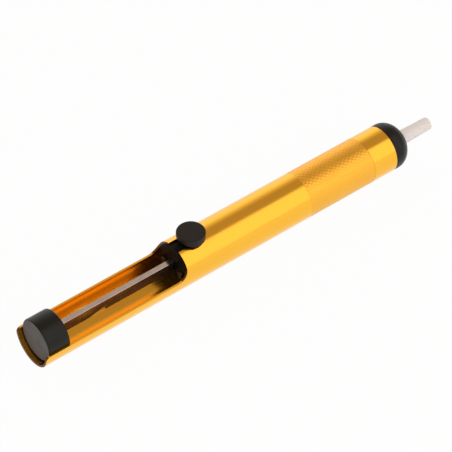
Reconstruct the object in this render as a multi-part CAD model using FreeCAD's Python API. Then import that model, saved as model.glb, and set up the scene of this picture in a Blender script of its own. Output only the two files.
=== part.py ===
import FreeCAD, Part
import math
import os

from FreeCAD import Vector

# Desoldering pump: a spring-driven suction pump in an aluminium tube. All sizes in mm.
# Lengths run along +X from the barrel's open rear end to the nozzle; heights are from the tube's axis.

# Barrel: drawn aluminium tube whose rear end is cut open into a trough
barrel_od = 20.0
barrel_wall = 0.9
barrel_length = 174.0
trough_length = 67.8
trough_lip_height = 0.3
trough_front_radius = 5.4
trough_rear_radius = 2.0
button_slot_width = 6.3
screw_head_depth = 0.25

# Clearances
running_clearance = 0.08      # radial, rod and seals in their bores
push_clearance = 0.05         # radial, pieces assembled into one another
free_clearance = 0.3          # moving pieces that must not touch
knob_clearance = 0.15         # radial, knob to the barrel's bore
spring_clearance = 1.1        # radial, main spring in the barrel
stop_gap = 0.1                # between stops that meet flat

# Latch housing: moulded bulkhead that carries the button, the latch and the rod
housing_overhang = 0.5        # how far it stands out of the barrel into the trough
housing_length = 17.0
cover_thickness = 2.4
bush_od = 7.8
bush_length = 4.5
cover_screw_offset = 5.3
cover_screw_drop = 0.9        # screws' height below the axis
cover_screw_diameter = 1.6
cover_screw_head_diameter = 2.8
cover_screw_head_height = 0.9
cover_screw_length = 6.5
cover_screw_slot = 0.5
housing_screw_diameter = 2.5
housing_screw_head_diameter = 4.4
housing_screw_head_height = 1.1
housing_screw_length = 5.0
housing_screw_setback = 3.3   # from the housing's front face
housing_screw_slot = 0.6
bumper_diameter = 13.0
bumper_thickness = 2.0

# Plunger rod and knob
rod_width = 2.3               # flat bar that stands on edge
rod_height = 5.0
rod_rise = 0.4                # bar and knob above the barrel's axis, so the knob clears the trough's floor
stud_diameter = 2.2           # on the barrel's axis
stud_tail = 1.2               # stud left showing past its nut
latch_stroke = 42.9           # travel from rest to where the latch catches the notch
overtravel = 1.5
notch_depth = 2.1
notch_ramp_length = 8.0
knob_length = 10.0
knob_recess = 2.1             # knob's rear face, in from the barrel's rear end
knob_end_wall = 2.6
knob_edge_radius = 0.8

# Piston
piston_length = 9.0
piston_land = 2.6             # plain length in front of the seal's groove
seal_section = 2.2
washer_diameter = 12.0
washer_thickness = 0.8
seat_flange = 1.0
seat_boss = 1.2
nut_across_flats = 5.5
nut_height = 2.4
needle_diameter = 1.3
needle_socket = 3.0
needle_protrusion = 1.0       # past the nozzle's tip at full travel
needle_point = 1.6

# Main spring
spring_wire = 1.1
spring_coils = 13

# Button and latch plate
button_setback = 8.9          # from the housing's rear face to the button's axis
button_diameter = 11.7
button_rise = 3.2             # top of the button above the barrel's crown
button_rim = 3.2
button_edge = 0.35
button_travel = 1.2
stem_diameter = 5.7
plate_thickness = 1.5
plate_width = 9.0
plate_wall = 0.95             # above its window
plate_sill = 1.75             # below its window
tongue_width = 3.6
tongue_height = 3.6
pin_diameter = 1.2
latch_spring_od = 4.6
latch_spring_wire = 0.4
latch_spring_coils = 4
latch_spring_length = 3.0

# Nose
nose_skirt = 2.6              # cylindrical length ahead of the barrel
nose_dome = 7.6
nose_plug_length = 10.0
ring_setback = 3.2            # nose O-ring, behind the shoulder
ring_section = 1.8
nozzle_reach = 25.0           # barrel's front end to the nozzle's tip
nozzle_root_diameter = 6.0
nozzle_tip_diameter = 5.4
nozzle_bore = 2.6
nozzle_tip_radius = 0.4
nozzle_flange_diameter = 9.0
nozzle_flange_thickness = 2.4
nozzle_gasket_thickness = 0.8

# Worked out from the sizes above
barrel_r = barrel_od / 2
bore_r = barrel_r - barrel_wall
overall_length = barrel_length + nozzle_reach
knob_r = bore_r - knob_clearance
spring_r = bore_r - spring_clearance
rod_top = rod_rise + rod_height / 2
rod_bottom = rod_rise - rod_height / 2
rod_corner = math.hypot(rod_width / 2, rod_top)
stud_r = stud_diameter / 2
socket_r = bore_r - push_clearance
full_travel = latch_stroke + overtravel

housing_rear = trough_length - housing_overhang
housing_front = housing_rear + housing_length
cover_front = housing_rear + cover_thickness
button_x = housing_rear + button_setback
bumper_front = housing_front + bumper_thickness
housing_screw_x = housing_front - housing_screw_setback

knob_front = knob_recess + knob_length
rod_rear = knob_recess + knob_end_wall
rod_shoulder = bumper_front + stop_gap
piston_rear = rod_shoulder + washer_thickness
piston_front = piston_rear + piston_length
seat_front = piston_front + seat_flange
nut_rear = seat_front + seat_boss
stud_front = nut_rear + nut_height + stud_tail
needle_tip = overall_length + needle_protrusion - full_travel

plug_rear = barrel_length - nose_plug_length
washer_rear = plug_rear - seat_flange
flange_front = plug_rear + nozzle_flange_thickness
boss_r = spring_r - spring_wire - free_clearance
seat_r = spring_r + free_clearance

window_top = rod_top + running_clearance + button_travel + free_clearance
window_bottom = rod_bottom - running_clearance
plate_shoulder = window_top + plate_wall
plate_bottom = window_bottom - plate_sill
tongue_top = plate_shoulder + tongue_height
pin_height = plate_shoulder + tongue_height / 2
stem_pocket_floor = plate_shoulder - button_travel - free_clearance
spring_pocket_floor = plate_bottom - latch_spring_length
button_top = barrel_r + button_rise
button_relief_r = barrel_r + button_travel + free_clearance / 2

X = Vector(1, 0, 0)
Z = Vector(0, 0, 1)


def cyl(x0, x1, radius, y=0.0, z=0.0):
    """Cylinder along X from x0 to x1."""
    return Part.makeCylinder(radius, x1 - x0, Vector(x0, y, z), X)


def post(x, z0, z1, radius):
    """Upright cylinder at x, from height z0 to z1."""
    return Part.makeCylinder(radius, z1 - z0, Vector(x, 0, z0), Z)


def block(x0, x1, width, z0, z1):
    """Box centred on the XZ plane."""
    return Part.makeBox(x1 - x0, width, z1 - z0, Vector(x0, -width / 2, z0))


def turned(edges):
    """Solid turned about X from a closed chain of edges in the XZ plane."""
    face = Part.Face(Part.Wire(Part.__sortEdges__(edges)))
    return face.revolve(Vector(0, 0, 0), X, 360)


def turned_polygon(points):
    """Solid turned about X from the corners (x, radius) of its section."""
    corners = [Vector(x, 0, r) for x, r in points]
    return turned(Part.makePolygon(corners + corners[:1]).Edges)


def rod_passage(x0, x1, clearance):
    """The flat rod from x0 to x1, grown by a clearance on every side."""
    return block(x0, x1, rod_width + 2 * clearance, rod_bottom - clearance, rod_top + clearance)


def ring(x, outer_r, section):
    """O-ring of round section about X."""
    return Part.makeTorus(outer_r - section / 2, section / 2, Vector(x, 0, 0), X)


def coil(base, direction, length, outer_d, wire, turns):
    """Helical spring of round wire that stands on base and just fills length along direction."""
    inset = wire / 2 + 0.02
    rise = length - 2 * inset
    mean_r = (outer_d - wire) / 2
    helix = Part.makeHelix(rise / turns, rise, mean_r)
    section = Part.Wire(Part.makeCircle(wire / 2, Vector(mean_r, 0, 0), Vector(0, 1, 0)))
    body = Part.Wire(helix.Edges).makePipeShell([section], True, True)
    body.translate(Vector(0, 0, inset))
    body.Placement = FreeCAD.Placement(base, FreeCAD.Rotation(Z, direction)).multiply(body.Placement)
    return body


def arc(start, middle, end):
    """Circular arc through three (x, z) points."""
    return Part.Arc(*(Vector(x, 0, z) for x, z in (start, middle, end))).toShape()


def line(start, end):
    """Straight edge between two (x, z) points."""
    return Part.LineSegment(Vector(start[0], 0, start[1]), Vector(end[0], 0, end[1])).toShape()


def trough_cutter():
    """Side profile of what is milled away above the trough, carried right across the tube."""
    lip = trough_lip_height
    front_r = trough_front_radius
    rear_r = trough_rear_radius
    top = barrel_od
    clear = -barrel_wall
    diag = math.sqrt(0.5)
    inner = (trough_length - front_r, lip + front_r)
    outer = (rear_r, lip - rear_r)
    edges = [
        line((clear, top), (trough_length, top)),
        line((trough_length, top), (trough_length, lip + front_r)),
        arc((trough_length, lip + front_r), (inner[0] + front_r * diag, inner[1] - front_r * diag),
            (trough_length - front_r, lip)),
        line((trough_length - front_r, lip), (rear_r, lip)),
        arc((rear_r, lip), (outer[0] - rear_r * diag, outer[1] + rear_r * diag), (0, lip - rear_r)),
        line((0, lip - rear_r), (clear, lip - rear_r)),
        line((clear, lip - rear_r), (clear, top)),
    ]
    face = Part.Face(Part.Wire(edges))
    cutter = face.extrude(Vector(0, 2 * barrel_od, 0))
    cutter.translate(Vector(0, -barrel_od, 0))
    return cutter


def screw_below(clearance):
    """Countersunk housing screw, or with a clearance the hole that it takes."""
    head_low = -barrel_r + screw_head_depth
    head_r = housing_screw_head_diameter / 2 + clearance
    shank_r = housing_screw_diameter / 2 + clearance
    at = Vector(housing_screw_x, 0, head_low)
    head = Part.makeCone(head_r, shank_r, housing_screw_head_height, at, Z)
    shank = post(housing_screw_x, head_low, -barrel_r + housing_screw_length + clearance, shank_r)
    return head.fuse(shank)


def barrel():
    tube = cyl(0, barrel_length, barrel_r).cut(cyl(-1, barrel_length + 1, bore_r))
    slot = block(trough_length - 1, button_x, button_slot_width, 0, barrel_od)
    slot_end = post(button_x, 0, barrel_od, button_slot_width / 2)
    low = -barrel_r + screw_head_depth
    mouth = post(housing_screw_x, -barrel_od, low, housing_screw_head_diameter / 2 + push_clearance)
    return tube.cut([trough_cutter(), slot, slot_end, screw_below(push_clearance), mouth])


def latch_housing():
    body = cyl(cover_front, housing_front, socket_r)
    rod_bore = cyl(cover_front - 1, housing_front + 1, rod_corner + free_clearance)
    bush_seat = cyl(cover_front - 1, cover_front + bush_length, bush_od / 2 + push_clearance)
    half_slot = plate_thickness / 2 + running_clearance
    slot_floor = plate_bottom - button_travel - free_clearance
    plate_slot = block(button_x - half_slot, button_x + half_slot,
                       plate_width + 2 * running_clearance, slot_floor, barrel_od)
    stem_pocket = post(button_x, stem_pocket_floor, barrel_od, stem_diameter / 2 + free_clearance)
    spring_pocket = post(button_x, spring_pocket_floor, 0, latch_spring_od / 2 + free_clearance)
    tapped = [cyl(cover_front - 1, housing_rear + cover_screw_length + push_clearance,
                  cover_screw_diameter / 2 + push_clearance, side * cover_screw_offset, -cover_screw_drop)
              for side in (-1, 1)]
    return body.cut([rod_bore, bush_seat, plate_slot, stem_pocket, spring_pocket,
                     screw_below(push_clearance)] + tapped)


def housing_cover():
    disc = cyl(housing_rear, cover_front, socket_r)
    holes = [rod_passage(housing_rear - 1, cover_front + 1, free_clearance)]
    for side in (-1, 1):
        holes.append(cyl(housing_rear - 1, cover_front + 1,
                         cover_screw_diameter / 2 + push_clearance, side * cover_screw_offset,
                         -cover_screw_drop))
    return disc.cut(holes)


def cover_screws():
    screws = []
    head_rear = housing_rear - cover_screw_head_height
    for side in (-1, 1):
        y = side * cover_screw_offset
        head = cyl(head_rear, housing_rear, cover_screw_head_diameter / 2, y, -cover_screw_drop)
        head = head.makeFillet(cover_screw_head_height / 3, [e for e in head.Edges
                                                              if abs(e.CenterOfMass.x - head_rear) < 1e-6
                                                              and e.Closed])
        shank = cyl(housing_rear, housing_rear + cover_screw_length, cover_screw_diameter / 2, y,
                    -cover_screw_drop)
        slot = Part.makeBox(cover_screw_head_height, cover_screw_head_diameter * 2, cover_screw_slot,
                            Vector(head_rear - cover_screw_head_height / 2,
                                   y - cover_screw_head_diameter,
                                   -cover_screw_drop - cover_screw_slot / 2))
        screws.append(head.fuse(shank).cut(slot))
    return Part.makeCompound(screws)


def housing_screw():
    low = -barrel_r + screw_head_depth
    slot = Part.makeBox(housing_screw_head_diameter * 2, housing_screw_slot,
                        housing_screw_head_height,
                        Vector(housing_screw_x - housing_screw_head_diameter,
                               -housing_screw_slot / 2, low - housing_screw_head_height / 2))
    return screw_below(0).cut(slot)


def rod_bush():
    outer = cyl(cover_front, cover_front + bush_length, bush_od / 2)
    return outer.cut(rod_passage(cover_front - 1, cover_front + bush_length + 1, running_clearance))


def piston_bumper():
    pad = cyl(housing_front, bumper_front, bumper_diameter / 2)
    return pad.cut(cyl(housing_front - 1, bumper_front + 1, rod_corner + free_clearance))


def latch_spring():
    base = Vector(button_x, 0, spring_pocket_floor)
    return coil(base, Z, latch_spring_length, latch_spring_od, latch_spring_wire, latch_spring_coils)


def main_spring():
    base = Vector(seat_front, 0, 0)
    return coil(base, X, washer_rear - seat_front, 2 * spring_r, spring_wire, spring_coils)


def plunger_rod():
    bar = rod_passage(rod_rear, rod_shoulder, 0).fuse(cyl(rod_shoulder, stud_front, stud_r))
    # The notch: a long ramp under the rod that ends in a square shoulder facing the knob
    shoulder = button_x + plate_thickness / 2 - latch_stroke
    side = rod_width
    ramp = Part.makePolygon([Vector(shoulder - notch_ramp_length, -side, rod_bottom),
                             Vector(shoulder, -side, rod_bottom + notch_depth),
                             Vector(shoulder, -side, -rod_height),
                             Vector(shoulder - notch_ramp_length, -side, -rod_height),
                             Vector(shoulder - notch_ramp_length, -side, rod_bottom)])
    notch = Part.Face(ramp).extrude(Vector(0, 2 * side, 0))
    socket = cyl(stud_front - needle_socket, stud_front + 1, needle_diameter / 2 + push_clearance)
    return bar.cut([notch, socket])


def plunger_knob():
    body = cyl(knob_recess, knob_front, knob_r, 0, rod_rise)
    body = body.makeFillet(knob_edge_radius, [e for e in body.Edges if e.Closed])
    return body.cut(rod_passage(rod_rear, knob_front + 1, push_clearance))


def piston_washer():
    disc = cyl(rod_shoulder, piston_rear, washer_diameter / 2)
    return disc.cut(cyl(rod_shoulder - 1, piston_rear + 1, stud_r + push_clearance))


def seal_x():
    """Middle of the seal's groove along the piston."""
    return piston_front - piston_land - seal_section / 2


def piston():
    body = cyl(piston_rear, piston_front, bore_r - free_clearance)
    half_groove = seal_section / 2 + push_clearance
    groove = cyl(seal_x() - half_groove, seal_x() + half_groove, bore_r)
    core = cyl(piston_rear, piston_front, bore_r - running_clearance - seal_section - push_clearance)
    bore = cyl(piston_rear - 1, piston_front + 1, stud_r + push_clearance)
    return body.cut(groove.cut(core)).cut(bore)


def piston_seal():
    return ring(seal_x(), bore_r - running_clearance, seal_section)


def spring_seat():
    disc = cyl(piston_front, seat_front, seat_r).fuse(cyl(seat_front, nut_rear, boss_r))
    return disc.cut(cyl(piston_front - 1, nut_rear + 1, stud_r + push_clearance))


def piston_nut():
    corner_r = nut_across_flats / math.sqrt(3)
    corners = [Vector(nut_rear, corner_r * math.cos(k * math.pi / 3), corner_r * math.sin(k * math.pi / 3))
               for k in range(7)]
    prism = Part.Face(Part.makePolygon(corners)).extrude(Vector(nut_height, 0, 0))
    return prism.cut(cyl(nut_rear - 1, nut_rear + nut_height + 1, stud_r + push_clearance))


def cleaning_needle():
    r = needle_diameter / 2
    shaft = cyl(stud_front - needle_socket, needle_tip - needle_point, r)
    point = Part.makeCone(r, r / 3, needle_point, Vector(needle_tip - needle_point, 0, 0), X)
    return shaft.fuse(point)


def button_cap():
    disc = post(button_x, button_top - button_rim, button_top, button_diameter / 2)
    top = [e for e in disc.Edges if e.Closed and abs(e.CenterOfMass.z - button_top) < 1e-6]
    disc = disc.makeFillet(button_edge, top)
    half = button_diameter
    disc = disc.cut(cyl(button_x - half, button_x + half, button_relief_r))
    stem = post(button_x, plate_shoulder, button_top - button_rim / 2, stem_diameter / 2)
    tongue_slot = block(button_x - plate_thickness / 2, button_x + plate_thickness / 2,
                        tongue_width, plate_shoulder - 1, tongue_top)
    pin_hole = cyl(button_x - stem_diameter, button_x + stem_diameter, pin_diameter / 2, 0, pin_height)
    return disc.fuse(stem).cut([tongue_slot, pin_hole])


def latch_plate():
    rear = button_x - plate_thickness / 2
    front = button_x + plate_thickness / 2
    plate = block(rear, front, plate_width, plate_bottom, plate_shoulder)
    plate = plate.fuse(block(rear, front, tongue_width, plate_shoulder, tongue_top))
    # Window for the rod: its lower edge catches the notch, and its height lets the plate drop
    window = block(rear - 1, front + 1, rod_width + 2 * running_clearance, window_bottom, window_top)
    pin_hole = cyl(rear - 1, front + 1, pin_diameter / 2, 0, pin_height)
    return plate.cut([window, pin_hole])


def latch_pin():
    half = math.sqrt((stem_diameter / 2) ** 2 - (pin_diameter / 2) ** 2)
    return cyl(button_x - half, button_x + half, pin_diameter / 2, 0, pin_height)


def nose_cap():
    # Dome: a quarter ellipse from the skirt to the nozzle's root, turned about X
    centre = Vector(barrel_length + nose_skirt, 0, 0)
    rim = centre + Z * barrel_r
    apex = centre + X * nose_dome
    major, minor = (rim, apex) if barrel_r >= nose_dome else (apex, rim)
    quarter = Part.ArcOfEllipse(Part.Ellipse(major, minor, centre), 0, math.pi / 2).toShape()
    dome = turned([quarter, Part.makeLine(apex, centre), Part.makeLine(centre, rim)])
    skirt = cyl(barrel_length, barrel_length + nose_skirt, barrel_r)
    plug = cyl(plug_rear, barrel_length, socket_r)
    body = dome.fuse([skirt, plug]).removeSplitter()
    bore = cyl(plug_rear - 1, overall_length, nozzle_root_diameter / 2 + push_clearance)
    counterbore = cyl(plug_rear - 1, flange_front + nozzle_gasket_thickness,
                      nozzle_flange_diameter / 2 + push_clearance)
    ring_x = barrel_length - ring_setback
    half_groove = ring_section / 2 + push_clearance
    groove = cyl(ring_x - half_groove, ring_x + half_groove, barrel_r)
    core = cyl(plug_rear, barrel_length, socket_r - ring_section - push_clearance)
    return body.cut([bore, counterbore, groove.cut(core)])


def nose_ring():
    return ring(barrel_length - ring_setback, socket_r, ring_section)


def nozzle():
    root = barrel_length + nose_skirt
    r_root = nozzle_root_diameter / 2
    r_tip = nozzle_tip_diameter / 2
    tip = overall_length
    soft = nozzle_tip_radius
    bore_radius = nozzle_bore / 2
    diag = math.sqrt(0.5)
    start = (plug_rear, bore_radius)
    chain = [
        line(start, (plug_rear, nozzle_flange_diameter / 2)),
        line((plug_rear, nozzle_flange_diameter / 2), (flange_front, nozzle_flange_diameter / 2)),
        line((flange_front, nozzle_flange_diameter / 2), (flange_front, r_root)),
        line((flange_front, r_root), (root + nose_dome, r_root)),
        line((root + nose_dome, r_root), (tip - soft, r_tip)),
        arc((tip - soft, r_tip), (tip - soft + soft * diag, r_tip - soft + soft * diag), (tip, r_tip - soft)),
        line((tip, r_tip - soft), (tip, bore_radius)),
        line((tip, bore_radius), start),
    ]
    return turned(chain)


def nozzle_gasket():
    disc = cyl(flange_front, flange_front + nozzle_gasket_thickness, nozzle_flange_diameter / 2)
    return disc.cut(cyl(flange_front - 1, flange_front + nozzle_gasket_thickness + 1,
                        nozzle_root_diameter / 2 + push_clearance))


def spring_washer():
    disc = cyl(washer_rear, plug_rear, seat_r).fuse(cyl(washer_rear - seat_boss, washer_rear, boss_r))
    return disc.cut(cyl(washer_rear - seat_boss - 1, plug_rear + 1, nozzle_root_diameter / 2))


nodes = {f.__name__: f for f in (
    barrel, latch_housing, housing_cover, cover_screws, housing_screw, rod_bush, piston_bumper,
    latch_spring, main_spring, plunger_rod, plunger_knob, piston_washer, piston, piston_seal,
    spring_seat, piston_nut, cleaning_needle, button_cap, latch_plate, latch_pin,
    nose_cap, nose_ring, nozzle, nozzle_gasket, spring_washer)}

os.makedirs("parts", exist_ok=True)
for name, make in nodes.items():
    shape = make()
    # The part's origin: under the middle of its length, on the plane the barrel lies on
    shape.translate(Vector(-overall_length / 2, 0, barrel_r))
    shape.exportStep("parts/" + name + ".step")
    box = shape.BoundBox
    print(name, len(shape.Solids), shape.isValid(), round(shape.Volume, 2),
          [round(v, 2) for v in (box.XMin, box.XMax, box.YMin, box.YMax, box.ZMin, box.ZMax)])
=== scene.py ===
"""Looks of the desoldering pump: an anodised tube cut open into a trough, with plunger, button and nose."""
import math

import bmesh
import bpy
import numpy as np
from mathutils import Matrix, Vector


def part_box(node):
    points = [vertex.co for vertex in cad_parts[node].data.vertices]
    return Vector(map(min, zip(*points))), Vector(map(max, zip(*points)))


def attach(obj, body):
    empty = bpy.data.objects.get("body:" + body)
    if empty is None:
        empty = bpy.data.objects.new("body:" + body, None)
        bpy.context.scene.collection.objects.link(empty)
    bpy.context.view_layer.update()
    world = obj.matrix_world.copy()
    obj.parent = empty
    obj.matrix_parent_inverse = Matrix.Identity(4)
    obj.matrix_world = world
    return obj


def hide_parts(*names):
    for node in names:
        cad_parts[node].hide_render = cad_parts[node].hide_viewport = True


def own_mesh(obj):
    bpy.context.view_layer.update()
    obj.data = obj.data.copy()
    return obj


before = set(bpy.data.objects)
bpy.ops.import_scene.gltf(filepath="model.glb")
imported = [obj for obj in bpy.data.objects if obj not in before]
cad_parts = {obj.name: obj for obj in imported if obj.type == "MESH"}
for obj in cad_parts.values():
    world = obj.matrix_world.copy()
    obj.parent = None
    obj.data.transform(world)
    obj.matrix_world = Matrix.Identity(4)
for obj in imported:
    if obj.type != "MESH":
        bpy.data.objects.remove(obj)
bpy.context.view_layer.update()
mm = 0.001

# ---------------------------------------------------------------------------------------------------------
# Stage and camera. A white floor under the tool, two sets of soft panels and an even grey room.
# The front panels lean over the button side; the back panels stand low behind the tool.
# ---------------------------------------------------------------------------------------------------------
scene = bpy.context.scene
scene.view_settings.view_transform = "Standard"


def looking(azimuth, elevation, roll=0.0):
    """Turn of a camera or lamp that looks along the view azimuth (0 is +Y, 90 is -X), down by elevation."""
    turn = Matrix.Rotation(azimuth, 3, "Z") @ Matrix.Rotation(math.pi / 2 - elevation, 3, "X")
    return (turn @ Matrix.Rotation(roll, 3, "Z")).to_4x4()


camera_turn = looking(math.radians(-38.60), math.radians(45.73), math.radians(0.71))
camera_distance = 0.9923
camera_aim = Vector((-22.1, -20.3, 42.0)) * mm
camera = bpy.data.objects.new("camera", bpy.data.cameras.new("camera"))
camera.data.lens = 209.0
camera.data.sensor_width = 36.0
camera.data.clip_start = 0.05
camera_place = camera_aim + camera_turn.to_3x3() @ Vector((0, 0, 1)) * camera_distance
camera.matrix_world = Matrix.Translation(camera_place) @ camera_turn
scene.collection.objects.link(camera)
scene.camera = camera


def soft_panel(name, place, aim, width, height, radiance):
    """White rectangular lamp at place that faces aim; radiance is the brightness that a mirror shows."""
    lamp = bpy.data.lights.new(name, "AREA")
    lamp.shape = "RECTANGLE"
    lamp.size = width
    lamp.size_y = height
    lamp.energy = radiance * math.pi * width * height
    holder = bpy.data.objects.new(name, lamp)
    facing = (Vector(aim) - Vector(place)).to_track_quat("-Z", "Y")
    holder.matrix_world = Matrix.Translation(Vector(place)) @ facing.to_matrix().to_4x4()
    holder.visible_camera = False
    scene.collection.objects.link(holder)
    return holder


def across(angle, distance, along):
    """Point at an angle from straight up, positive towards -Y, in a plane across the tool."""
    return (along, -distance * math.sin(angle), distance * math.cos(angle))


def light_band(side, low, high, radiance, distance, width):
    """Panel that fills the angles low to high round the tool; side is 1 in front and -1 behind."""
    middle = math.radians((low + high) / 2)
    height = 2 * distance * math.tan(math.radians((high - low) / 2))
    name = "%s_panel_%d" % ("front" if side > 0 else "back", high)
    place = across(side * middle, distance, panel_along)
    soft_panel(name, place, (panel_along, 0, 0), width, height, radiance)


# Bands of light: where each starts and ends round the tool, from straight up, and how bright it looks
panel_along = 0.5
for low, high, radiance in ((9, 15, 0.42), (15, 79, 0.83), (79, 90, 0.56)):
    light_band(1, low, high, radiance, 1.5, 3.6)
for low, high, radiance in ((34, 47, 0.18), (47, 60, 0.48), (60, 96, 0.76)):
    light_band(-1, low, high, radiance, 2.0, 4.4)

room_grey = 0.48
world = bpy.data.worlds.new("room")
scene.world = world
world.use_nodes = True
nodes, links = world.node_tree.nodes, world.node_tree.links
room = nodes["Background"]
room.inputs["Color"].default_value = (1.0, 0.82, 0.70, 1.0)
room.inputs["Strength"].default_value = room_grey
backdrop = nodes.new("ShaderNodeBackground")
backdrop.inputs["Strength"].default_value = 1.0
backdrop.inputs["Color"].default_value = (1.0, 1.0, 1.0, 1.0)
ray = nodes.new("ShaderNodeLightPath")
choose = nodes.new("ShaderNodeMixShader")
links.new(ray.outputs["Is Camera Ray"], choose.inputs[0])
links.new(room.outputs[0], choose.inputs[1])
links.new(backdrop.outputs[0], choose.inputs[2])
links.new(choose.outputs[0], nodes["World Output"].inputs[0])

floor_half = 6.0
floor_mesh = bpy.data.meshes.new("floor")
floor_mesh.from_pydata([(-floor_half, -floor_half, 0), (floor_half, -floor_half, 0),
                        (floor_half, floor_half, 0), (-floor_half, floor_half, 0)], [], [(0, 1, 2, 3)])
floor = bpy.data.objects.new("floor", floor_mesh)
scene.collection.objects.link(floor)
paper = bpy.data.materials.new("white_paper")
paper.use_nodes = True
nodes, links = paper.node_tree.nodes, paper.node_tree.links
matt = nodes["Principled BSDF"]
matt.inputs["Base Color"].default_value = (0.90, 0.90, 0.90, 1.0)
matt.inputs["Roughness"].default_value = 1.0
matt.inputs["Specular IOR Level"].default_value = 0.0
glow = nodes.new("ShaderNodeEmission")
glow.inputs["Strength"].default_value = 1.0
ray = nodes.new("ShaderNodeLightPath")
share = nodes.new("ShaderNodeMath")
share.operation = "MULTIPLY"
share.inputs[1].default_value = 0.965
either = nodes.new("ShaderNodeMath")
either.operation = "MAXIMUM"
links.new(ray.outputs["Is Camera Ray"], either.inputs[0])
links.new(ray.outputs["Is Glossy Ray"], either.inputs[1])
links.new(either.outputs[0], share.inputs[0])
choose = nodes.new("ShaderNodeMixShader")
links.new(share.outputs[0], choose.inputs[0])
links.new(matt.outputs[0], choose.inputs[1])
links.new(glow.outputs[0], choose.inputs[2])
links.new(choose.outputs[0], nodes["Material Output"].inputs[0])
floor.data.materials.append(paper)

# ---------------------------------------------------------------------------------------------------------
# Barrel. Drawn aluminium tube, gold anodised; its rear end is cut open into a trough with rounded front
# corners, and a slot for the button's stem runs on from it. A countersunk hole is under the bulkhead.
# ---------------------------------------------------------------------------------------------------------
barrel_low, barrel_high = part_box("barrel")
rear_x = barrel_low.x
front_x = barrel_high.x
barrel_r = (barrel_high.y - barrel_low.y) / 2
axis_z = barrel_low.z + barrel_r
wall = 0.9 * mm
trough_length = 67.8 * mm
lip_height = 0.3 * mm
lip_front_r = 5.4 * mm
lip_rear_r = 2.0 * mm
slot_half = 3.15 * mm
button_x = (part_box("button_cap")[0].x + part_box("button_cap")[1].x) / 2
screw_x = (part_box("housing_screw")[0].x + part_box("housing_screw")[1].x) / 2
hole_outer_r = 2.3 * mm
hole_inner_r = 1.5 * mm
hole_reach = 4.4 * mm
knurl_rear_x = rear_x + 129.6 * mm
knurl_front_x = rear_x + 162.6 * mm
knurl_seat = 0.32 * mm


def stations(start, end, step):
    """Evenly spaced places from start to end, about step apart."""
    return np.linspace(start, end, max(2, int(round((end - start) / step)) + 1))


def outline_top(radius):
    """Upper edge of the tube at each station, as (x, angle from the top) for one side.

    Trough: the lip's height, rounded down at the rear and up at the front, becomes the angle whose cosine
    is height over radius. Slot: half its width over the radius is the sine of the angle.
    """
    a = np.linspace(0, math.pi / 2, 9)
    x = [lip_rear_r * (1 - np.cos(a)),
         stations(lip_rear_r, trough_length - lip_front_r, 2.5 * mm)[1:-1],
         trough_length - lip_front_r + lip_front_r * np.sin(a)]
    z = [lip_height - lip_rear_r + lip_rear_r * np.sin(a),
         np.full(len(x[1]), lip_height),
         lip_height + lip_front_r * (1 - np.cos(a))]
    trough = np.stack([rear_x + np.concatenate(x), np.arccos(np.concatenate(z) / radius)])
    slot_x = stations(rear_x + trough_length, button_x, 1.6 * mm)
    side = np.full(len(slot_x) - 1, math.asin(slot_half / radius))
    slot = np.stack([np.concatenate([slot_x[:-1], button_x + slot_half * np.sin(a)]),
                     np.concatenate([side, np.arcsin(slot_half * np.cos(a) / radius)])])
    return trough, slot


def on_tube(x, angle, radius):
    """Point at an angle from the top, on the -Y side, at a radius from the axis."""
    return np.stack([x + 0 * angle, -radius * np.sin(angle), axis_z + radius * np.cos(angle)], -1)


def grid_faces(first, rows, columns):
    """Quads of a grid of vertices that is stored row by row from index first."""
    i = first + np.arange(rows - 1)[:, None] * columns + np.arange(columns - 1)[None, :]
    return np.stack([i, i + 1, i + columns + 1, i + columns], -1).reshape(-1, 4)


def joined_mesh(name, grids, sharp=35.0, weld=1e-7):
    """Closed mesh from grids of points: coincident edges are welded, faces turned outwards, corners kept."""
    points, faces, first = [], [], 0
    for g in grids:
        rows, columns = g.shape[:2]
        points.append(g.reshape(-1, 3))
        faces.append(grid_faces(first, rows, columns))
        first += rows * columns
    points = np.concatenate(points)
    faces = np.concatenate(faces)
    mesh = bpy.data.meshes.new(name)
    mesh.from_pydata(points.tolist(), [], faces.tolist())
    work = bmesh.new()
    work.from_mesh(mesh)
    bmesh.ops.remove_doubles(work, verts=work.verts, dist=weld)
    bmesh.ops.dissolve_degenerate(work, edges=work.edges, dist=weld)
    bmesh.ops.recalc_face_normals(work, faces=work.faces)
    work.to_mesh(mesh)
    work.free()
    mesh.polygons.foreach_set("use_smooth", np.ones(len(mesh.polygons), bool))
    mesh.set_sharp_from_angle(angle=math.radians(sharp))
    piece = bpy.data.objects.new(name, mesh)
    scene.collection.objects.link(piece)
    return piece


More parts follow.
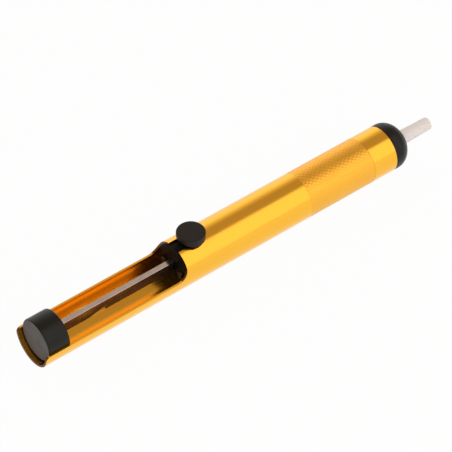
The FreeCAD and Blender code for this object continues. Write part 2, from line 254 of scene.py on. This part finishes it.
def tube_grids():
    """The tube's skins and rims, one side of it mirrored to the other.

    Below: rows run from the trough's lip, or from the front corner's height past the trough, down to the
    bottom. Above: rows run from the slot's side, or the crown, down to that height. The hole under the
    bulkhead is a patch whose rows go from its circle out to a rectangle of the grid around it.
    """
    grids = []
    rims = {}
    low_rows = 45
    high_rows = 21
    patch_rows = 9          # grid rows that the patch with the hole takes, up from the bottom
    for skin, radius, hole_r in (("outer", barrel_r, hole_outer_r), ("inner", barrel_r - wall, hole_inner_r)):
        trough, slot = outline_top(radius)
        corner = trough[1, -1]
        ahead = [stations(slot[0, -1], knurl_rear_x, 2.6 * mm)[1:],
                 stations(knurl_rear_x, knurl_front_x, 2.6 * mm),
                 stations(knurl_front_x, front_x, 2.3 * mm)]
        ahead_x = np.concatenate(ahead)
        seat_depth = knurl_seat if skin == "outer" else 0.0
        seat = np.repeat([0.0, seat_depth, 0.0], [len(part) for part in ahead])
        plain_r = np.concatenate([np.full(trough.shape[1] + slot.shape[1], radius), radius - seat])
        x_low = np.concatenate([trough[0], slot[0], ahead_x])
        top_low = np.concatenate([trough[1], np.full(slot.shape[1] + len(ahead_x), corner)])
        t = np.linspace(0, 1, low_rows)[None, :]
        low = on_tube(x_low[:, None], top_low[:, None] + (math.pi - top_low[:, None]) * t, plain_r[:, None])
        x_high = np.concatenate([slot[0], ahead_x])
        top_high = np.concatenate([slot[1], np.zeros(len(ahead_x))])
        t = np.linspace(0, 1, high_rows)[None, :]
        high = on_tube(x_high[:, None], top_high[:, None] + (corner - top_high[:, None]) * t,
                       plain_r[trough.shape[1]:, None])
        # The patch: grid columns within reach of the hole
        first = int(np.searchsorted(x_low, screw_x - hole_reach))
        last = int(np.searchsorted(x_low, screw_x + hole_reach))
        edge = low_rows - patch_rows
        around = np.concatenate([low[first, edge:][::-1], low[first:last + 1, edge][1:],
                                 low[last, edge:][1:]])
        turn = np.linspace(math.pi, 0, len(around))
        hole = on_tube(screw_x + hole_r * np.cos(turn), math.pi - hole_r * np.sin(turn) / radius, radius)
        u = np.linspace(0, 1, 6)[:, None, None]
        patch = around[None] * (1 - u) + hole[None] * u
        depth = np.hypot(patch[..., 1], patch[..., 2] - axis_z)[..., None]
        patch[..., 1:] = (patch[..., 1:] - (0, axis_z)) * radius / depth + (0, axis_z)
        grids += [low[:first + 1], low[first:last + 1, :edge + 1], low[last:], high, patch]
        rims[skin] = [low[:trough.shape[1], 0], low[0], high[0], high[:slot.shape[1], 0],
                      low[-1], high[-1], hole]
    grids += [np.stack(pair) for pair in zip(rims["outer"], rims["inner"])]
    return grids + [g * (1, -1, 1) for g in grids]


barrel = joined_mesh("barrel_tube", tube_grids())
edge_break = barrel.modifiers.new("edge_break", "BEVEL")
edge_break.width = 0.13 * mm
edge_break.segments = 2
edge_break.limit_method = "ANGLE"
edge_break.angle_limit = math.radians(50)
edge_break.harden_normals = True


def knurl_grids():
    """Sleeve with a cut diamond knurl.

    Two families of grooves cross at plus and minus the knurl's angle; a point's depth is how near it is
    to the nearest groove of either family, with small flats left on the crests.
    """
    teeth = 39
    slope = math.radians(35.5)
    groove = 0.095 * mm
    fade = 0.6 * mm         # the grooves run out over this length at each end
    crest = 0.9             # the slope's share of the way from a groove to the middle of the crest
    samples = 8             # points across one tooth
    around = 2 * math.pi * barrel_r / teeth
    along = around / math.tan(slope)
    columns = int(round((knurl_front_x - knurl_rear_x) / along * samples))
    x = np.linspace(knurl_rear_x, knurl_front_x, columns + 1)
    angle = np.linspace(0, 2 * math.pi, teeth * samples + 1)
    xx, aa = np.meshgrid(x, angle, indexing="ij")
    u = aa / (2 * math.pi) * teeth
    v = (xx - knurl_rear_x) / along
    near = np.minimum(np.abs((u - v) % 1.0 - 0.5), np.abs((u + v) % 1.0 - 0.5)) * 2
    ends = np.clip(np.minimum(xx - knurl_rear_x, knurl_front_x - xx) / fade, 0, 1)
    radius = barrel_r - groove * (1 - np.minimum(near / crest, 1)) * ends
    outer = on_tube(xx, aa, radius)
    inner = on_tube(xx, aa, np.full_like(xx, barrel_r - knurl_seat))
    return [outer, inner, np.stack([outer[0], inner[0]]), np.stack([outer[-1], inner[-1]])]


knurl = joined_mesh("barrel_knurl", knurl_grids(), sharp=180)


def surface(name, color, metallic, roughness, coat=0.0, specular=0.5):
    """New node material with its shader's plain values set; returns it with its nodes, links and shader."""
    material = bpy.data.materials.new(name)
    material.use_nodes = True
    shader = material.node_tree.nodes["Principled BSDF"]
    shader.inputs["Base Color"].default_value = (*color, 1.0)
    shader.inputs["Metallic"].default_value = metallic
    shader.inputs["Roughness"].default_value = roughness
    shader.inputs["Coat Weight"].default_value = coat
    shader.inputs["Specular IOR Level"].default_value = specular
    return material, material.node_tree.nodes, material.node_tree.links, shader


def streaks(nodes, links, stretch, scale, detail=4.0):
    """Noise on Object coordinates, stretched by the three factors of stretch."""
    place = nodes.new("ShaderNodeTexCoord")
    squeeze = nodes.new("ShaderNodeMapping")
    squeeze.inputs["Scale"].default_value = stretch
    noise = nodes.new("ShaderNodeTexNoise")
    noise.inputs["Scale"].default_value = scale
    noise.inputs["Detail"].default_value = detail
    links.new(place.outputs["Object"], squeeze.inputs["Vector"])
    links.new(squeeze.outputs[0], noise.inputs["Vector"])
    return noise.outputs["Fac"]


def spread(nodes, links, source, low, high):
    """Maps a noise of about 0.3 to 0.7 onto low to high."""
    remap = nodes.new("ShaderNodeMapRange")
    remap.inputs["From Min"].default_value = 0.3
    remap.inputs["From Max"].default_value = 0.7
    remap.inputs["To Min"].default_value = low
    remap.inputs["To Max"].default_value = high
    links.new(source, remap.inputs["Value"])
    return remap.outputs[0]


def tinted(nodes, links, shader, source, one, other):
    """Colours the shader between one and other by a noise."""
    mix = nodes.new("ShaderNodeMix")
    mix.data_type = "RGBA"
    mix.inputs["A"].default_value = (*one, 1.0)
    mix.inputs["B"].default_value = (*other, 1.0)
    links.new(spread(nodes, links, source, 0.0, 1.0), mix.inputs["Factor"])
    links.new(mix.outputs["Result"], shader.inputs["Base Color"])


def bumped(nodes, links, shader, height, strength, distance):
    """Feeds a height into the shader's normal."""
    bump = nodes.new("ShaderNodeBump")
    bump.inputs["Strength"].default_value = strength
    bump.inputs["Distance"].default_value = distance
    links.new(height, bump.inputs["Height"])
    links.new(bump.outputs[0], shader.inputs["Normal"])


def gold_anodise(name, base, deep, roughness):
    """Dyed anodised aluminium: drawing lines along the tube in its roughness, slow change in its dye."""
    material, nodes, links, shader = surface(name, base, 1.0, roughness, coat=0.12)
    shader.inputs["Coat Roughness"].default_value = 0.12
    drawn = streaks(nodes, links, (0.04, 1.0, 1.0), 2400.0)
    dye = streaks(nodes, links, (0.5, 1.0, 1.0), 45.0)
    links.new(spread(nodes, links, drawn, roughness * 0.8, roughness * 1.25), shader.inputs["Roughness"])
    tinted(nodes, links, shader, dye, base, deep)
    bumped(nodes, links, shader, drawn, 0.25, 0.004 * mm)
    return material


tube_gold = gold_anodise("gold_anodised", (1.0, 0.53, 0.050), (0.98, 0.505, 0.042), 0.17)
knurl_gold = gold_anodise("gold_knurled", (0.98, 0.51, 0.056), (0.96, 0.49, 0.048), 0.40)
bore_gold = gold_anodise("gold_bore", (0.97, 0.49, 0.046), (0.90, 0.45, 0.038), 0.20)
barrel.data.materials.append(tube_gold)
barrel.data.materials.append(bore_gold)
# Painted shade: the cut faces turned towards -X (the rear end's rim and the trough's front end) get a much
# darker gold than the skin, standing in for the shade on them
barrel.data.materials.append(gold_anodise("gold_cut_faces_painted_shade", (0.20, 0.065, 0.009), (0.15, 0.048, 0.006), 0.45))
# Faces turned towards -X take the painted-shade gold (index 2); faces deep in the wall take the bore's gold
# (index 1)
for face in barrel.data.polygons:
    depth = barrel_r - math.hypot(face.center.y, face.center.z - axis_z)
    face.material_index = 2 if face.normal.x < -0.35 else int(depth > 0.8 * wall)
knurl.data.materials.append(knurl_gold)
for piece in (barrel, knurl):
    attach(piece, "barrel")
    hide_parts("barrel")

# ---------------------------------------------------------------------------------------------------------
# Bulkhead. Black moulded housing pushed into the tube, with a cover screwed over the rod's brass bush.
# A countersunk screw from below holds it; a rubber pad on its front face stops the piston.
# ---------------------------------------------------------------------------------------------------------
def turned(name, profile, center, turns, sharp=30.0):
    """Solid turned about the X axis through center: profile holds (along, radius) pairs in order.

    A point at angle a stands at radius times the cosine and sine of a, across the axis.
    """
    profile = np.array(profile)
    a = np.linspace(0, 2 * math.pi, turns + 1)[None, :]
    parts = [profile[:, :1] + 0 * a, profile[:, 1:] * np.cos(a), profile[:, 1:] * np.sin(a)]
    return joined_mesh(name, [np.stack(parts, -1) + np.array(center)], sharp)


def rounded(corners, closed=False, steps=4):
    """Outline through corners (along, radius, corner radius), each rounded by an arc that fits its sides."""
    count = len(corners)
    out = []
    for k, (x, r, soft) in enumerate(corners):
        here = np.array([x, r])
        if soft <= 0 or (not closed and k in (0, count - 1)):
            out.append(here)
            continue
        back = np.array(corners[k - 1][:2]) - here
        ahead = np.array(corners[(k + 1) % count][:2]) - here
        back, ahead = back / np.linalg.norm(back), ahead / np.linalg.norm(ahead)
        half = math.acos(np.clip(back @ ahead, -1, 1)) / 2
        middle = here + (back + ahead) / np.linalg.norm(back + ahead) * soft / math.sin(half)
        first = here + back * soft / math.tan(half) - middle
        last = here + ahead * soft / math.tan(half) - middle
        swing = math.atan2(first[0] * last[1] - first[1] * last[0], first @ last)
        for step in np.linspace(0, 1, steps + 1):
            c, s = math.cos(swing * step), math.sin(swing * step)
            out.append(middle + np.array([c * first[0] - s * first[1], s * first[0] + c * first[1]]))
    return out + out[:1] if closed else out


def moulded(name, color, roughness, grain_scale, grain_depth, specular=0.25):
    """Moulded plastic: fine spark-eroded grain and slow change in its gloss."""
    material, nodes, links, shader = surface(name, color, 0.0, roughness, specular=specular)
    grain = streaks(nodes, links, (1.0, 1.0, 1.0), grain_scale)
    handled = streaks(nodes, links, (1.0, 1.0, 1.0), 160.0)
    links.new(spread(nodes, links, handled, roughness * 0.85, roughness * 1.2), shader.inputs["Roughness"])
    lighter = tuple(min(1.0, c * 1.5) for c in color)
    tinted(nodes, links, shader, grain, color, lighter)
    bumped(nodes, links, shader, grain, 0.35, grain_depth)
    return material


def dress(node, material):
    """Gives a carried-over CAD node its material and shades its curved faces smooth with modifiers only."""
    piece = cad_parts[node]
    piece.data.materials.clear()
    piece.data.materials.append(material)
    piece.data.polygons.foreach_set("use_smooth", np.ones(len(piece.data.polygons), bool))
    weld = piece.modifiers.new("weld", "WELD")
    weld.merge_threshold = 1e-6
    split = piece.modifiers.new("split", "EDGE_SPLIT")
    split.split_angle = math.radians(32)
    return piece


def metal(name, base, roughness, stretch, depth):
    """Bright metal with fine tool lines: stretch says which way the lines run."""
    material, nodes, links, shader = surface(name, base, 1.0, roughness)
    lines = streaks(nodes, links, stretch, 3000.0)
    stains = streaks(nodes, links, (1.0, 1.0, 1.0), 260.0)
    links.new(spread(nodes, links, lines, roughness * 0.75, roughness * 1.35), shader.inputs["Roughness"])
    duller = tuple(c * 0.86 for c in base)
    tinted(nodes, links, shader, stains, base, duller)
    bumped(nodes, links, shader, lines, 0.3, depth)
    return material


def rubber(name, color, roughness):
    """Moulded rubber: matt, a little dusty, with a fine even grain."""
    material, nodes, links, shader = surface(name, color, 0.0, roughness, specular=0.4)
    grain = streaks(nodes, links, (1.0, 1.0, 1.0), 5200.0)
    dusty = tuple(c * 1.6 + 0.01 for c in color)
    tinted(nodes, links, shader, grain, color, dusty)
    bumped(nodes, links, shader, grain, 0.3, 0.01 * mm)
    return material


along_tool = (0.03, 1.0, 1.0)
round_tool = (1.0, 0.03, 0.03)
every_way = (1.0, 1.0, 1.0)
center = (0, 0, axis_z)

housing_black = moulded("housing_black", (0.005, 0.0045, 0.004), 0.5, 9000.0, 0.01 * mm, 0.08)
zinc = metal("zinc_plate", (0.56, 0.55, 0.53), 0.32, every_way, 0.004 * mm)
brass = metal("turned_brass", (0.72, 0.50, 0.22), 0.25, round_tool, 0.004 * mm)
bumper_rubber = rubber("bumper_rubber", (0.018, 0.017, 0.016), 0.7)
dress("latch_housing", housing_black)
dress("housing_cover", housing_black)
dress("cover_screws", metal("black_oxide", (0.10, 0.09, 0.08), 0.38, every_way, 0.004 * mm))
dress("housing_screw", zinc)
dress("rod_bush", brass)
dress("piston_bumper", bumper_rubber)

# ---------------------------------------------------------------------------------------------------------
# Latch. Stamped plate with a window round the rod, pinned to the button's stem; a small spring under it
# lifts both. The spring is drawn wire with closed ends and stands in the housing's pocket.
# ---------------------------------------------------------------------------------------------------------
def helix(name, base, direction, length, outer_r, wire, turns, around=12, per_turn=36):
    """Coil spring of round wire with a closed turn at each end.

    The wire's middle climbs a helix about direction; its climb eases in and out over the end turns. Each
    section is a circle across the wire, from the outward direction and the coil's axis tilted by the climb.
    """
    count = int(turns * per_turn) + 1
    t = np.linspace(0, turns, count)
    foot = wire / 2 * 1.04
    closed = foot + wire * 1.02
    climb = np.interp(t, [0, 1, turns - 1, turns], [foot, closed, length - closed, length - foot])
    mean_r = outer_r - wire / 2
    a = 2 * math.pi * t
    out = np.stack([np.cos(a), np.sin(a), 0 * a], -1)
    path = out * mean_r + np.stack([0 * a, 0 * a, climb], -1)
    ahead = np.gradient(path, axis=0)
    ahead /= np.linalg.norm(ahead, axis=1, keepdims=True)
    up = np.cross(ahead, out)
    b = np.linspace(0, 2 * math.pi, around + 1)[None, :, None]
    skin = path[:, None] + wire / 2 * (np.cos(b) * out[:, None] + np.sin(b) * up[:, None])
    ends = [np.stack([np.repeat(path[k][None], around + 1, 0), skin[k]]) for k in (0, -1)]
    z = Vector(direction)
    turn = np.array(Vector((0, 0, 1)).rotation_difference(z).to_matrix())
    return joined_mesh(name, [g @ turn.T + np.array(base) for g in [skin] + ends], sharp=60)


spring_wire_steel = metal("spring_wire", (0.43, 0.42, 0.41), 0.3, every_way, 0.003 * mm)
spring_gap = 0.02 * mm
pocket_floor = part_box("latch_spring")[0].z - spring_gap
latch_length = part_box("latch_plate")[0].z - pocket_floor
latch_spring = helix("latch_coil", (button_x, 0, pocket_floor), (0, 0, 1), latch_length,
                     2.3 * mm, 0.4 * mm, 5)
latch_spring.data.materials.append(spring_wire_steel)
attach(latch_spring, "barrel")
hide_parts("latch_spring")
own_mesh(latch_spring)
stamped = metal("latch_steel", (0.50, 0.49, 0.48), 0.36, every_way, 0.006 * mm)
dress("latch_plate", stamped)
dress("latch_pin", zinc)

# ---------------------------------------------------------------------------------------------------------
# Button. Round black moulding with a broken top edge; its underside is hollowed to the barrel's curve so
# that the skirt comes down close to the tube, and a round stem drops through the slot.
# ---------------------------------------------------------------------------------------------------------
button_low, button_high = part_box("button_cap")
button_r = (button_high.x - button_low.x) / 2
button_rim = 3.2 * mm
stem_r = 2.85 * mm
hollow_r = barrel_r + 1.35 * mm


def button_grid():
    """Rows go out over the top, round its edge, down the rim, in under it and down the stem.

    The underside's height at a point is that of a cylinder about the tube's axis, or the rim's lower edge
    where that is higher.
    """
    top = button_high.z
    edge = rounded([(0, top, 0), (button_r, top, 0.4 * mm), (button_r, top - button_rim, 0)], steps=6)
    edge = np.array([(r, z) for r, z in edge])
    crown = np.array([(r, edge[0, 1]) for r in np.linspace(0, edge[1, 0], 9)[:-1]])
    rim = np.concatenate([crown, edge[1:-1]])
    a = np.linspace(0, 2 * math.pi, 97)
    rows = [np.stack([r * np.cos(a), r * np.sin(a), 0 * a + z], -1) for r, z in rim]
    for r in np.concatenate([[button_r], np.linspace(button_r - 0.25 * mm, stem_r, 7)]):
        y = r * np.sin(a)
        hollow = axis_z + np.sqrt(hollow_r ** 2 - y ** 2)
        low = np.maximum(top - button_rim, hollow) + (0.12 * mm if r == button_r else 0)
        rows.append(np.stack([r * np.cos(a), y, low], -1))
    rows.append(np.stack([(stem_r) * np.cos(a), (stem_r) * np.sin(a), 0 * a + button_low.z], -1))
    rows.append(np.stack([0 * a, 0 * a, 0 * a + button_low.z], -1))
    return np.stack(rows) + np.array([button_x, 0, 0])


button = joined_mesh("button_cap_moulding", [button_grid()], sharp=40)
button_black = moulded("button_black", (0.010, 0.0075, 0.0055), 0.42, 7000.0, 0.012 * mm)
button.data.materials.append(button_black)
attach(button, "button")
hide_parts("button_cap")

# ---------------------------------------------------------------------------------------------------------
# Plunger. Flat steel bar on edge with a long ramped notch below; a black moulded knob is pressed on its rear
# end and the piston, washer, seal, seat and nut sit on its threaded front with the cleaning needle.
# ---------------------------------------------------------------------------------------------------------
rod_low, rod_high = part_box("plunger_rod")
shoulder_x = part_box("piston_washer")[0].x
rod_half = (rod_high.y - rod_low.y) / 2
rod_middle = (rod_high.z + rod_low.z) / 2
rod_half_height = (rod_high.z - rod_low.z) / 2
stud_r = 1.1 * mm
notch_depth = 2.1 * mm
notch_ramp = 8.0 * mm
latch_stroke = 42.9 * mm
notch_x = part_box("latch_plate")[1].x - latch_stroke


def rod_grids():
    """Flat bar with broken edges, whose underside is lifted to the notch's floor, and the round stud.

    The section is a rectangle with its corners cut at 45 degrees; the notch clips it from below at a height
    that grows along the ramp and drops back at the shoulder.
    """
    soft = 0.09 * mm
    corners = [(1, 1), (-1, 1), (-1, -1), (1, -1)]
    section = []
    for k, (y, z) in enumerate(corners):
        first, last = ((-y, 0), (0, -z)) if k % 2 else ((0, -z), (-y, 0))
        section += [(y * rod_half + dy * soft, z * rod_half_height + dz * soft) for dy, dz in (first, last)]
    section = np.array(section + section[:1])
    ramp_x = notch_x - notch_ramp
    x = np.array([rod_low.x, rod_low.x, ramp_x, notch_x, notch_x, shoulder_x, shoulder_x])
    rise = np.array([0, 0, 0, notch_depth, 0, 0, 0])
    size = np.array([0, 1, 1, 1, 1, 1, 0])
    y = section[None, :, 0] * size[:, None]
    z = np.maximum(section[None, :, 1], (rise - rod_half_height)[:, None]) * size[:, None]
    bar = np.stack([x[:, None] + 0 * y, y, rod_middle + z], -1)
    a = np.linspace(0, 2 * math.pi, 49)[None, :]
    stud_x = np.array([shoulder_x, shoulder_x, rod_high.x - 0.3 * mm, rod_high.x, rod_high.x])[:, None]
    stud_size = np.array([0, stud_r, stud_r, stud_r - 0.3 * mm, 0])[:, None]
    stud = np.stack([stud_x + 0 * a, stud_size * np.sin(a), axis_z + stud_size * np.cos(a)], -1)
    return [bar], [stud]


rod_bar, rod_stud = rod_grids()
rod = joined_mesh("plunger_bar", rod_bar, sharp=25)
stud = joined_mesh("plunger_stud", rod_stud, sharp=25)
plated = metal("plated_steel", (0.62, 0.53, 0.47), 0.16, along_tool, 0.003 * mm)
rod_sides_painted_shade = metal("steel_sides_painted_shade", (0.30, 0.25, 0.22), 0.34, along_tool, 0.004 * mm)
for piece in (rod, stud):
    piece.data.materials.append(plated)
    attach(piece, "plunger")
    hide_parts("plunger_rod")
# Painted shade: the bar's two tall sides get a darker, rougher steel than its top and bottom, standing in for
# the shade on them
rod.data.materials.append(rod_sides_painted_shade)
# Faces turned across the tool (the tall sides) take the painted-shade steel
for face in rod.data.polygons:
    face.material_index = int(abs(face.normal.y) > 0.9)

knob_low, knob_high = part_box("plunger_knob")
knob_r = (knob_high.y - knob_low.y) / 2
knob_z = (knob_high.z + knob_low.z) / 2
bore_z = rod_middle - knob_z
knob_edge = 0.8 * mm


def knob_grids():
    """Knob turned about its own axis, with the rod's blind hole below it: a ring of faces joins the two.

    The hole is a rectangle: at angle a its edge is at 1 / max(|cos a| / half width, |sin a| / half height).
    """
    shell = rounded([(knob_low.x, 0, 0), (knob_low.x, knob_r, knob_edge), (knob_high.x, knob_r, knob_edge),
                     (knob_high.x, knob_r - knob_edge, 0)], steps=6)
    a = np.linspace(0, 2 * math.pi, 129)[None, :]
    shell = np.array([tuple(p) for p in shell])
    outside = np.stack([shell[:, :1] + 0 * a, shell[:, 1:] * np.cos(a), shell[:, 1:] * np.sin(a)], -1)
    hole = 1 / np.maximum(np.abs(np.cos(a)) / (rod_half + 0.05 * mm),
                          np.abs(np.sin(a)) / (rod_half_height + 0.05 * mm))
    rim = np.stack([knob_high.x + 0 * a, hole * np.cos(a), hole * np.sin(a) + bore_z], -1)
    floor_rim = rim * (0, 1, 1) + (rod_low.x, 0, 0)
    floor_middle = floor_rim * (1, 0, 0) + (0, 0, bore_z)
    inside = np.concatenate([outside[-1:], rim, floor_rim, floor_middle])
    return [outside + (0, 0, knob_z), inside + (0, 0, knob_z)]


knob = joined_mesh("knob_moulding", knob_grids(), sharp=35)
knob_black = moulded("knob_black", (0.006, 0.0065, 0.0035), 0.36, 6000.0, 0.012 * mm)
# Painted reflection: the knob's rear face gets a grey far lighter than its black sides, standing in for the
# white floor that it mirrors
knob_face_painted_reflection = moulded("knob_face_painted_reflection", (0.088, 0.087, 0.085), 0.62, 6000.0, 0.012 * mm, 0.3)
knob.data.materials.append(knob_black)
knob.data.materials.append(knob_face_painted_reflection)
# Faces turned to -X (the rear face) take the painted-reflection grey
for face in knob.data.polygons:
    face.material_index = int(face.normal.x < -0.9)
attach(knob, "plunger")
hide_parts("plunger_knob")

seal_rubber = rubber("seal_rubber", (0.012, 0.012, 0.012), 0.45)
acetal = moulded("white_acetal", (0.62, 0.61, 0.57), 0.4, 4000.0, 0.01 * mm)
seat_aluminium = metal("turned_aluminium", (0.78, 0.78, 0.77), 0.28, round_tool, 0.004 * mm)
stainless = metal("needle_stainless", (0.62, 0.61, 0.60), 0.2, along_tool, 0.002 * mm)
dress("piston_washer", zinc)
dress("piston", acetal)
dress("piston_seal", seal_rubber)
dress("spring_seat", seat_aluminium)
dress("piston_nut", zinc)
dress("cleaning_needle", stainless)

# ---------------------------------------------------------------------------------------------------------
# Main spring. Drawn wire with closed ends, between the piston's seat and the washer behind the nose.
# It shortens as the plunger is pushed home.
# ---------------------------------------------------------------------------------------------------------
spring_low, spring_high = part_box("main_spring")
seat_x = spring_low.x - spring_gap
washer_x = spring_high.x + spring_gap
spring_length = washer_x - seat_x
main_spring = helix("main_coil", (seat_x, 0, axis_z), (1, 0, 0), spring_length,
                    (spring_high.y - spring_low.y) / 2, 1.1 * mm, 14)
main_spring.data.materials.append(spring_wire_steel)
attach(main_spring, "barrel")
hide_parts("main_spring")
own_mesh(main_spring)

# ---------------------------------------------------------------------------------------------------------
# Nose. Black domed moulding whose plug goes into the barrel on an O-ring; the translucent white PTFE nozzle
# is held in it by its flange, on a gasket, with the spring's washer behind it.
# ---------------------------------------------------------------------------------------------------------
nose_low, nose_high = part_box("nose_cap")
nose_r = (nose_high.y - nose_low.y) / 2
nozzle_low, nozzle_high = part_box("nozzle")
nozzle_root_r = 3.0 * mm
nozzle_tip_r = 2.7 * mm
nozzle_bore_r = 1.3 * mm
nose_skirt = 2.6 * mm
nose_dome = 7.6 * mm
plug_r = (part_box("nose_ring")[1].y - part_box("nose_ring")[0].y) / 2
ring_x = (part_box("nose_ring")[0].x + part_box("nose_ring")[1].x) / 2
ring_half = (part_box("nose_ring")[1].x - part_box("nose_ring")[0].x) / 2
gasket_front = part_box("nozzle_gasket")[1].x
flange_r = (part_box("nozzle_gasket")[1].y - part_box("nozzle_gasket")[0].y) / 2 + 0.05 * mm


def nose_profile():
    """Section of the nose: plug with the ring's groove, skirt, quarter-ellipse dome, bore, counterbore."""
    mouth_r = nozzle_root_r + 0.05 * mm
    a = np.linspace(0, math.acos(mouth_r / nose_r), 25)
    dome = [(front_x + nose_skirt + nose_dome * math.sin(t), nose_r * math.cos(t)) for t in a]
    groove_r = plug_r - 2 * ring_half
    plug = rounded([
        (gasket_front, mouth_r, 0), (gasket_front, flange_r, 0), (nose_low.x, flange_r, 0.1 * mm),
        (nose_low.x, plug_r, 0.3 * mm), (ring_x - ring_half, plug_r, 0.1 * mm),
        (ring_x - ring_half, groove_r, 0),
        (ring_x + ring_half, groove_r, 0), (ring_x + ring_half, plug_r, 0.1 * mm), (front_x, plug_r, 0),
        (front_x, nose_r, 0.25 * mm), (front_x + nose_skirt, nose_r, 0)])
    return [tuple(p) for p in plug] + dome[1:] + [(gasket_front, mouth_r)]


nose = turned("nose_moulding", nose_profile(), center, turns=128, sharp=28)
nose_black = moulded("nose_black", (0.006, 0.005, 0.004), 0.38, 6000.0, 0.012 * mm)
nose.data.materials.append(nose_black)
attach(nose, "nose")
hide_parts("nose_cap")


def ptfe(name):
    """Translucent PTFE: waxy, milky, with faint cloudiness."""
    material, nodes, links, shader = surface(name, (0.80, 0.78, 0.77), 0.0, 0.5, specular=0.25)
    shader.inputs["Subsurface Weight"].default_value = 0.35
    shader.inputs["Subsurface Radius"].default_value = (1.0, 0.8, 0.75)
    shader.inputs["Subsurface Scale"].default_value = 1.5 * mm
    cloud = streaks(nodes, links, (0.4, 1.0, 1.0), 420.0)
    tinted(nodes, links, shader, cloud, (0.83, 0.81, 0.805), (0.815, 0.795, 0.79))
    bumped(nodes, links, shader, streaks(nodes, links, (0.1, 1.0, 1.0), 2600.0), 0.05, 0.003 * mm)
    return material


nozzle_flange_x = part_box("nozzle_gasket")[0].x
nozzle = turned("nozzle_tube", rounded([
    (nozzle_low.x, nozzle_bore_r, 0.15 * mm), (nozzle_low.x, flange_r - 0.05 * mm, 0.2 * mm),
    (nozzle_flange_x, flange_r - 0.05 * mm, 0.1 * mm), (nozzle_flange_x, nozzle_root_r, 0.0),
    (front_x + nose_skirt + nose_dome, nozzle_root_r, 0.0), (nozzle_high.x, nozzle_tip_r, 0.45 * mm),
    (nozzle_high.x, nozzle_bore_r, 0.3 * mm)], closed=True), center, turns=96)
nozzle.data.materials.append(ptfe("nozzle_ptfe"))
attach(nozzle, "nose")
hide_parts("nozzle")

silicone = rubber("gasket_silicone", (0.30, 0.05, 0.025), 0.5)
dress("nose_ring", seal_rubber)
dress("nozzle_gasket", silicone)
dress("spring_washer", seat_aluminium)
